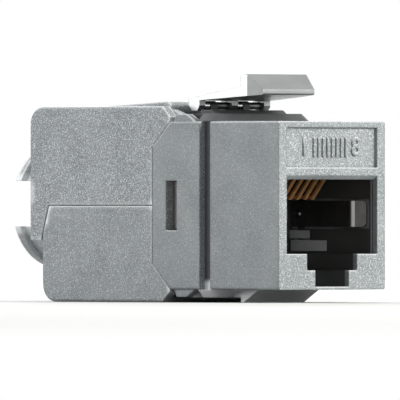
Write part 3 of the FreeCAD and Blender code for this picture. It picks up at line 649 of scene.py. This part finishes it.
# The finish of each of the record's slots.
FINISHES = {
    Slot.CAST: CastZinc(),
    Slot.SMOOTH: SmoothZinc(),
    Slot.INSERT: MouldedPlastic(
        "insert_plastic", (0.034, 0.034, 0.034), (0.054, 0.055, 0.055), roughness=0.34),
    Slot.CONTACT: Metal(
        "gold_contact", (0.70, 0.34, 0.12), (0.82, 0.42, 0.18), roughness=0.36, metallic=0.6),
    # The leaf paints a highlight on its crest.
    Slot.LEAF: Metal(
        "tinned_leaf", (0.085, 0.083, 0.08), (0.12, 0.118, 0.115), roughness=0.36,
        along=(1.0, 1.0, 14.0), polish=0.9),
    Slot.PIN: Metal(
        "pin_steel", (0.14, 0.14, 0.145), (0.22, 0.22, 0.225), roughness=0.42,
        along=(14.0, 1.0, 1.0)),
    Slot.SPRING: Metal(
        "spring_wire", (0.62, 0.62, 0.63), (0.84, 0.84, 0.85), roughness=0.20,
        along=(1.0, 4.0, 4.0)),
    Slot.BOARD: BoardLaminate(),
    Slot.BLOCK: MouldedPlastic(
        "block_plastic", (0.17, 0.165, 0.155), (0.24, 0.23, 0.215), roughness=0.48, relief=0.3),
    Slot.MANAGER: MouldedPlastic(
        "manager_plastic", (0.66, 0.66, 0.64), (0.74, 0.74, 0.72), roughness=0.50, relief=0.3),
    Slot.TERMINAL: Metal(
        "terminal_bronze", (0.50, 0.42, 0.28), (0.66, 0.58, 0.42), roughness=0.30),
}

# The pieces that don't look like the rest of their slot; some are lighter or darker copies of it
# that paint on light and shade.
OWN_FINISHES = {
    # Lighter copy of the smooth zinc: painted light on the lever, with painted shade on its faces
    # that look down.
    "latch_lever": SmoothZinc(
        "lever_zinc", (0.30, 0.31, 0.312), (0.36, 0.37, 0.372), (0.85, 0.87, 0.88),
        metallic=0.8, roughness=0.3, dull_below=0.45),
    # Darker copy of the smooth zinc: painted shade on the latch frame, with painted floor light at
    # its foot.
    "latch_frame": SmoothZinc(
        "latch_zinc", (0.058, 0.063, 0.065), (0.085, 0.092, 0.094), (0.60, 0.62, 0.63),
        metallic=0.2, roughness=0.58, soiling=0.5, rubbed_below=1.8 * MM),
    # Brighter copy of the zinc: painted light on the ledges deep in the port.
    "port_ledges": SmoothZinc(
        "ledge_zinc", (0.54, 0.57, 0.57), (0.64, 0.67, 0.67), (0.64, 0.67, 0.67),
        metallic=0.2, roughness=0.5, soiling=0.0),
    # The wings paint a highlight on their thin walls.
    "upper_wing": CastZinc(
        "wing_zinc", (0.236, 0.259, 0.266), side_grain=1.2, thin_shine=0.95),
    "lower_wing": CastZinc(
        "wing_zinc_low", (0.226, 0.248, 0.255), side_grain=0.8, thin_shine=0.95),
}


def add_block(mesh: bmesh.types.BMesh, first: Point, second: Point) -> list[bmesh.types.BMVert]:
    """Adds a block between two opposite corners.

    Args:
        mesh: Where it goes.
        first: One corner.
        second: The opposite corner.

    Returns:
        Its corner points.
    """
    block = bmesh.ops.create_cube(mesh, size=1.0)["verts"]
    low, high = Vector(map(min, first, second)), Vector(map(max, first, second))
    bmesh.ops.scale(mesh, vec=high - low, verts=block)
    bmesh.ops.translate(mesh, vec=(high + low) / 2, verts=block)
    return block


def mesh_object(name: str, mesh: bmesh.types.BMesh) -> bpy.types.Object:
    """Turns a finished mesh into an object.

    Args:
        name: The object's name.
        mesh: The mesh, which is freed.

    Returns:
        The object, not yet linked.
    """
    bmesh.ops.recalc_face_normals(mesh, faces=mesh.faces[:])
    data = bpy.data.meshes.new(name)
    mesh.to_mesh(data)
    mesh.free()
    return bpy.data.objects.new(name, data)


class Wardrobe:
    """Makes each finish once and puts it on pieces."""

    def __init__(self) -> None:
        """Makes every finish."""
        self.made = {slot: finish.material() for slot, finish in FINISHES.items()}
        self.own = {node: finish.material() for node, finish in OWN_FINISHES.items()}

    def wear(self, piece: bpy.types.Object, slot: Slot) -> None:
        """Gives a piece its own finish, if it has one, and otherwise its slot's."""
        piece.data.materials.clear()
        piece.data.materials.append(self.own.get(piece.name, self.made[slot]))

    def add(self, piece: bpy.types.Object, slot: Slot, body: Body) -> None:
        """Finishes a new piece, links it and lets it ride.

        Args:
            piece: The new object.
            slot: The record's slot that it takes its finish from.
            body: The body that it moves with.
        """
        bpy.context.scene.collection.objects.link(piece)
        self.wear(piece, slot)
        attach(piece, body.value)
        LOG.info("added %s on %s", piece.name, body.value)


class FramePieces:
    """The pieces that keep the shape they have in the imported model."""

    def build(self, wardrobe: Wardrobe) -> None:
        """Gives each of them the finish that the record names.

        Args:
            wardrobe: The finishes.
        """
        for entry in frame["record"]["subparts"]:
            piece = frame["nodes"][entry["node"]]
            wardrobe.wear(piece, Slot(entry["material_slot"]))
            LOG.info("dressed %s in %s", piece.name, entry["material_slot"])


@dataclass
class PinMarks:
    """Raised marks in the label pocket: eight strokes for the contacts, numbered at both ends."""

    contacts: int = 8
    height: float = 1.9 * MM
    stroke: float = 0.3 * MM
    gap: float = 0.62 * MM
    bevel: float = 0.04 * MM
    relief: float = 0.16 * MM
    pocket_depth: float = 0.35 * MM
    sink: float = 0.02 * MM
    centre_z: float = 14.93 * MM
    numeral: float = 2.5 * MM
    numeral_gap: float = 1.35 * MM
    numeral_swell: float = 0.03 * MM

    def build(self, wardrobe: Wardrobe) -> None:
        """Adds the strokes and the two numerals.

        Args:
            wardrobe: The finishes.
        """
        low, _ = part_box("front_housing")
        floor = low.y + self.pocket_depth + self.sink
        self._strokes(wardrobe, floor)
        reach = self.gap * (self.contacts - 1) / 2 + self.numeral_gap
        for text, side in (("1", -1), (str(self.contacts), 1)):
            self._numeral(wardrobe, text, side * reach, floor)

    def _strokes(self, wardrobe: Wardrobe, floor: float) -> None:
        """Adds the row of strokes as one piece.

        Args:
            wardrobe: The finishes.
            floor: The Y station of the pocket's floor.
        """
        mesh = bmesh.new()
        low, high = self.centre_z - self.height / 2, self.centre_z + self.height / 2
        for i in range(self.contacts):
            x = (i - (self.contacts - 1) / 2) * self.gap
            add_block(mesh, (x - self.stroke / 2, floor - self.relief, low),
                      (x + self.stroke / 2, floor, high))
        bmesh.ops.bevel(mesh, geom=mesh.edges[:], offset=self.bevel, segments=2, affect="EDGES")
        wardrobe.add(mesh_object("contact_marks", mesh), Slot.CAST, Body.HOUSING)

    def _numeral(self, wardrobe: Wardrobe, text: str, x: float, floor: float) -> None:
        """Adds one raised numeral.

        Args:
            wardrobe: The finishes.
            text: The numeral.
            x: Its middle across the jack.
            floor: The Y station of the pocket's floor.
        """
        data = bpy.data.curves.new(f"numeral_{text}", "FONT")
        data.body = text
        data.size = self.numeral
        data.align_x = "CENTER"
        data.align_y = "CENTER"
        data.extrude = self.relief / 2
        data.bevel_depth = self.numeral_swell
        data.offset = self.numeral_swell
        piece = bpy.data.objects.new(f"numeral_{text}", data)
        piece.rotation_euler = (math.radians(90), 0, 0)
        piece.location = (x, floor - self.relief / 2, self.centre_z)
        wardrobe.add(piece, Slot.CAST, Body.HOUSING)


@dataclass
class LatchSpring:
    """One torsion spring of round wire, wound on the latch pin, with a leg on the frame."""

    number: int
    wire: float = 0.14 * MM
    points_per_turn: int = 20
    roundness: int = 2

    def build(self, wardrobe: Wardrobe) -> None:
        """Adds the spring in place of its plain sleeve.

        Args:
            wardrobe: The finishes.
        """
        node = f"latch_spring_{self.number}"
        points = self._wound(node)
        data = bpy.data.curves.new(f"wound_{node}", "CURVE")
        data.dimensions = "3D"
        data.bevel_depth = self.wire / 2
        data.bevel_resolution = self.roundness
        data.use_fill_caps = True
        spline = data.splines.new("POLY")
        spline.points.add(len(points) - 1)
        for point, place in zip(spline.points, points):
            point.co = (*place, 1.0)
        piece = bpy.data.objects.new(f"wound_{node}", data)
        wardrobe.add(piece, Slot.SPRING, Body.HOUSING)
        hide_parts(node)

    def _wound(self, node: str) -> list[Vector]:
        """Winds the wire's middle line round the latch pin, inside the box of its sleeve.

        Args:
            node: The sleeve.

        Returns:
            The end of the leg, and then the points of the turns.
        """
        low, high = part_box(node)
        pin_low, pin_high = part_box("latch_pin")
        middle = (pin_low + pin_high) / 2
        radius = high.y - middle.y - self.wire / 2
        start = low.x + self.wire / 2
        room = high.x - low.x - self.wire
        turns = int(room / self.wire)
        count = turns * self.points_per_turn
        points = [Vector((start, low.y + self.wire / 2, low.z + self.wire / 2))]
        for i in range(count + 1):
            angle = -math.pi / 2 + 2 * math.pi * turns * i / count
            points.append(Vector((start + room * i / count, middle.y + radius * math.cos(angle),
                                  middle.z + radius * math.sin(angle))))
        return points


@dataclass
class SeamLip:
    """The thin lip inside the lower wing that closes the seam, and the flash in its tail wall."""

    seam: float = 9.35 * MM
    start: float = 7.2 * MM
    end: float = 12.3 * MM
    below: float = 0.7 * MM
    above: float = 0.35 * MM
    thickness: float = 0.25 * MM
    bevel: float = 0.08 * MM
    flash_inner: float = 5.1 * MM
    flash_outer: float = 7.0 * MM
    flash_end: float = 13.4 * MM
    flash_height: float = 0.07 * MM

    def build(self, wardrobe: Wardrobe) -> None:
        """Adds lip and flash on both sides as one piece.

        Args:
            wardrobe: The finishes.
        """
        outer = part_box("contact_carrier")[1].x
        inner = outer - self.thickness
        mesh = bmesh.new()
        for side in (1, -1):
            add_block(mesh, (inner * side, self.start, self.seam - self.below),
                      (outer * side, self.end, self.seam + self.above))
        bmesh.ops.bevel(mesh, geom=mesh.edges[:], offset=self.bevel, segments=2, affect="EDGES")
        for side in (1, -1):
            add_block(mesh, (self.flash_inner * side, self.end, self.seam - self.flash_height / 2),
                      (self.flash_outer * side, self.flash_end, self.seam + self.flash_height / 2))
        wardrobe.add(mesh_object("seam_lip", mesh), Slot.CAST, Body.LOWER_WING)


@dataclass
class PortLedges:
    """Zinc ledges of the housing that show low on both side walls of the port, through the insert.

    Each ledge is given by its front and back along Y, and its bottom and top along Z. It stands
    proud of the wall at its back and slants to less at its front.
    """

    wall: float = 5.98 * MM
    proud: float = 0.17 * MM
    proud_front: float = 0.12 * MM
    upper: tuple[Span, Span] = ((-10.1 * MM, -6.8 * MM), (6.15 * MM, 6.98 * MM))
    lower: tuple[Span, Span] = ((-12.4 * MM, -7.5 * MM), (4.9 * MM, 6.02 * MM))
    bevel: float = 0.045 * MM

    def build(self, wardrobe: Wardrobe) -> None:
        """Adds both pairs of ledges as one piece.

        Args:
            wardrobe: The finishes.
        """
        mesh = bmesh.new()
        face = self.wall - self.proud
        for side in (1, -1):
            for (front, back), (low, high) in (self.upper, self.lower):
                ledge = add_block(mesh, (self.wall * side, front, low), (face * side, back, high))
                for vertex in ledge:
                    at_front = vertex.co.y < (front + back) / 2
                    if at_front and abs(vertex.co.x) < face + self.proud / 2:
                        vertex.co.x = (self.wall - self.proud_front) * side
        bmesh.ops.bevel(mesh, geom=mesh.edges[:], offset=self.bevel, segments=3, affect="EDGES")
        wardrobe.add(mesh_object("port_ledges", mesh), Slot.SMOOTH, Body.HOUSING)


@dataclass
class GroundLeaf:
    """One bent leaf on the port's side wall: a foot that curves off it, a crest, a knee and a tip.

    The bends are the lengths that the curves of the foot, the crest and the knee may take.
    """

    node: str
    side: int
    sheet: float = 0.2 * MM
    root: float = -7.6 * MM
    foot: float = -13.3 * MM
    crest: tuple[float, float] = (5.06 * MM, -16.28 * MM)
    knee: tuple[float, float] = (5.38 * MM, -16.70 * MM)
    tip: tuple[float, float] = (5.93 * MM, -17.7 * MM)
    bends: tuple[float, float, float] = (4.0 * MM, 1.1 * MM, 0.12 * MM)
    bend_limit: float = 0.48
    steps: int = 8
    corner: float = 0.3 * MM
    pip_place: tuple[float, float] = (-8.35 * MM, 8.55 * MM)
    pip_radius: float = 0.42 * MM
    pip_height: float = 0.24 * MM
    pip_segments: int = 24

    def build(self, wardrobe: Wardrobe) -> None:
        """Adds the leaf in place of its plainer model.

        Args:
            wardrobe: The finishes.
        """
        low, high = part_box(self.node)
        wall = max(abs(low.x), abs(high.x)) - self.sheet / 2
        places = ((wall, self.root), (wall, self.foot), self.crest, self.knee, self.tip)
        mesh = bmesh.new()
        self._ribbon(mesh, self._rounded([Vector(place) for place in places]), low.z, high.z)
        self._pip(mesh, wall - self.sheet / 2)
        piece = mesh_object(f"bent_{self.node}", mesh)
        wardrobe.add(piece, Slot.LEAF, Body.HOUSING)
        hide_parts(self.node)

    def _rounded(self, corners: list[Vector]) -> list[Vector]:
        """Rounds the inner corners of the leaf's line.

        Args:
            corners: The line's ends and corners, seen from above.

        Returns:
            The line with each corner as a short curve, and a point where the tip's cut starts.
        """
        line = [corners[0]]
        for before, corner, after, bend in zip(corners, corners[1:], corners[2:], self.bends):
            first, last = before - corner, after - corner
            reach = min(bend / 2, first.length * self.bend_limit, last.length * self.bend_limit)
            start, end = corner + first.normalized() * reach, corner + last.normalized() * reach
            for i in range(self.steps + 1):
                part = i / self.steps
                line.append(start.lerp(corner, part).lerp(corner.lerp(end, part), part))
        tip = corners[-1]
        return line + [tip + (line[-1] - tip).normalized() * self.corner, tip]

    def _ribbon(self, mesh: bmesh.types.BMesh, line: list[Vector], low: float,
                high: float) -> None:
        """Gives the line its height and thickness, with the tip's corners cut.

        Args:
            mesh: Where the faces go.
            line: The middle of the sheet, seen from above.
            low: The leaf's lower edge.
            high: Its upper edge.
        """
        rings = []
        last = len(line) - 1
        for i, point in enumerate(line):
            run = (line[min(i + 1, last)] - line[max(i - 1, 0)]).normalized()
            off = Vector((-run.y, run.x)) * self.sheet / 2
            cut = self.corner if i == last else 0.0
            section = ((point - off, low + cut), (point + off, low + cut),
                       (point + off, high - cut), (point - off, high - cut))
            rings.append([mesh.verts.new((place.x * self.side, place.y, z))
                          for place, z in section])
        for near, far in zip(rings, rings[1:]):
            for i in range(4):
                mesh.faces.new((near[i], near[i - 1], far[i - 1], far[i])).smooth = True
                mesh.edges.get((near[i], far[i])).smooth = False
        for end in (rings[0], rings[-1]):
            for edge in mesh.faces.new(end).edges:
                edge.smooth = False

    def _pip(self, mesh: bmesh.types.BMesh, face: float) -> None:
        """Adds the low round contact pip.

        Args:
            mesh: Where the faces go.
            face: How far the leaf's inner face stands from the jack's middle.
        """
        dome = bmesh.ops.create_uvsphere(mesh, u_segments=self.pip_segments,
                                         v_segments=self.pip_segments // 2,
                                         radius=self.pip_radius)["verts"]
        bmesh.ops.scale(mesh, vec=(self.pip_height / self.pip_radius, 1.0, 1.0), verts=dome)
        bmesh.ops.translate(mesh, vec=(face * self.side, *self.pip_place), verts=dome)
        for vertex in dome:
            for part in vertex.link_faces:
                part.smooth = True


class Lamp(Enum):
    """The soft lamps: where each stands, its width and height, its power in watts and its tint."""

    FRONT = ((0.24, -0.72, 0.30), (0.50, 0.50), 7.9, (1.0, 0.99, 0.95))
    FILL = ((-0.50, -0.52, 0.16), (0.40, 0.40), 0.7, WHITE)
    RIM = ((-0.245, 0.16, 0.04), (0.16, 0.08), 0.22, WHITE)
    BACK = ((0.55, 0.60, 0.27), (0.40, 0.20), 5.2, WHITE)
    TOP = ((-0.02, 0.44, 0.58), (0.95, 0.80), 3.5, WHITE)


@dataclass
class Studio:
    """A pale floor, soft lamps and the camera.

    The camera looks at aim from azimuth degrees to the right of straight in front, and sees width
    metres there. The floor has floor_colour to look at and floor_bounce as it lights the jack, and
    fades into the backdrop over floor_fade.
    """

    aim: Point = (0.46 * MM, -0.46 * MM, 9.88 * MM)
    azimuth: float = -45.0
    lens: float = 1500.0
    sensor: float = 36.0
    width: float = 38.8 * MM
    floor_radius: float = 2.5
    floor_sides: int = 96
    floor_colour: float = 0.83
    floor_bounce: float = 0.385
    floor_fade: Span = (0.20, 0.45)
    ambient: float = 0.22

    def build(self) -> None:
        """Sets up the whole studio."""
        self._world()
        self._floor()
        for lamp in Lamp:
            self._lamp(lamp)
        self._camera()
        bpy.context.scene.view_settings.view_transform = "Standard"

    @staticmethod
    def _seen(graph: Graph) -> Value:
        """Tells the rays that look at the backdrop from those that only carry its light.

        Args:
            graph: The nodes to add to.

        Returns:
            1 for a ray that looks straight, in a mirror or through glass, and otherwise 0.
        """
        path = graph.node("ShaderNodeLightPath").outputs
        seen = Value(graph, path["Is Camera Ray"]) + path["Is Glossy Ray"]
        return seen.math("ADD", path["Is Transmission Ray"], clamp=True)

    def _glow(self, graph: Graph, kind: str, seen: Value) -> bpy.types.NodeSocket:
        """Returns the glow of a kind of node: white where it is seen, and softer as light."""
        strength = seen * (1.0 - self.ambient) + self.ambient
        return graph.node(kind, None, {"Color": (*WHITE, 1.0), "Strength": strength}).outputs[0]

    def _world(self) -> None:
        """Makes the even surroundings."""
        world = bpy.data.worlds.new("studio")
        world.use_nodes = True
        graph = Graph(world.node_tree)
        back = self._glow(graph, "ShaderNodeBackground", self._seen(graph))
        graph.node("ShaderNodeOutputWorld", None, {"Surface": back})
        bpy.context.scene.world = world

    def _floor(self) -> None:
        """Makes the floor: a pale disc that takes the jack's shadow."""
        mesh = bmesh.new()
        bmesh.ops.create_circle(mesh, cap_ends=True, segments=self.floor_sides,
                                radius=self.floor_radius)
        data = bpy.data.meshes.new("floor")
        mesh.to_mesh(data)
        mesh.free()
        data.materials.append(self._paper())
        floor = bpy.data.objects.new("floor", data)
        bpy.context.scene.collection.objects.link(floor)

    def _paper(self) -> bpy.types.Material:
        """Makes the floor's finish.

        Returns:
            Pale paper that fades into the backdrop's glow far out and is clear from below.
        """
        material, graph = new_material("floor_paper")
        seen = self._seen(graph)
        pale = graph.blend(seen, (self.floor_bounce,) * 3, (self.floor_colour,) * 3)
        paper = graph.node("ShaderNodeBsdfDiffuse", None, {"Color": pale}).outputs[0]
        far = graph.from_middle().band(*self.floor_fade)
        sweep = self._glow(graph, "ShaderNodeEmission", seen)
        whole = graph.node("ShaderNodeMixShader", None, {0: far, 1: paper, 2: sweep}).outputs[0]
        clear = graph.node("ShaderNodeBsdfTransparent").outputs[0]
        below = graph.node("ShaderNodeNewGeometry").outputs["Backfacing"]
        sides = graph.node("ShaderNodeMixShader", None, {0: below, 1: whole, 2: clear}).outputs[0]
        graph.node("ShaderNodeOutputMaterial", None, {"Surface": sides})
        return material

    def _lamp(self, lamp: Lamp) -> None:
        """Adds one soft lamp, turned towards the jack.

        Args:
            lamp: Which lamp.
        """
        place, size, power, tint = lamp.value
        data = bpy.data.lights.new(lamp.name.lower(), "AREA")
        data.shape = "ELLIPSE"
        data.size, data.size_y = size
        data.energy = power
        data.color = tint
        light = bpy.data.objects.new(lamp.name.lower(), data)
        light.location = place
        ahead = Vector(self.aim) - Vector(place)
        light.rotation_euler = ahead.to_track_quat("-Z", "Y").to_euler()
        light.visible_camera = False
        bpy.context.scene.collection.objects.link(light)

    def _camera(self) -> None:
        """Adds the camera, level with the jack and far off, behind a long lens."""
        data = bpy.data.cameras.new("camera")
        data.lens = self.lens
        data.sensor_width = self.sensor
        distance = self.width * self.lens / self.sensor
        data.clip_end = distance * 2
        camera = bpy.data.objects.new("camera", data)
        turn = math.radians(self.azimuth)
        back = Vector((math.sin(turn), -math.cos(turn), 0.0))
        camera.location = Vector(self.aim) + back * distance
        camera.rotation_euler = (-back).to_track_quat("-Z", "Y").to_euler()
        bpy.context.scene.collection.objects.link(camera)
        bpy.context.scene.camera = camera


def plain(box: tuple[Vector, Vector]) -> list[list[float]]:
    """Turns a box's two corners into plain lists."""
    return [list(corner) for corner in box]


def main() -> None:
    """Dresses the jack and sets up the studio."""
    logging.basicConfig(level=logging.INFO, format="%(name)s: %(message)s")
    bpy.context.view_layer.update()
    wardrobe = Wardrobe()
    FramePieces().build(wardrobe)
    PinMarks().build(wardrobe)
    for number in (1, 2):
        LatchSpring(number).build(wardrobe)
    SeamLip().build(wardrobe)
    PortLedges().build(wardrobe)
    for node, side in (("ground_spring_right", 1), ("ground_spring_left", -1)):
        GroundLeaf(node, side).build(wardrobe)
    Studio().build()


if __name__ == "__main__":
    main()
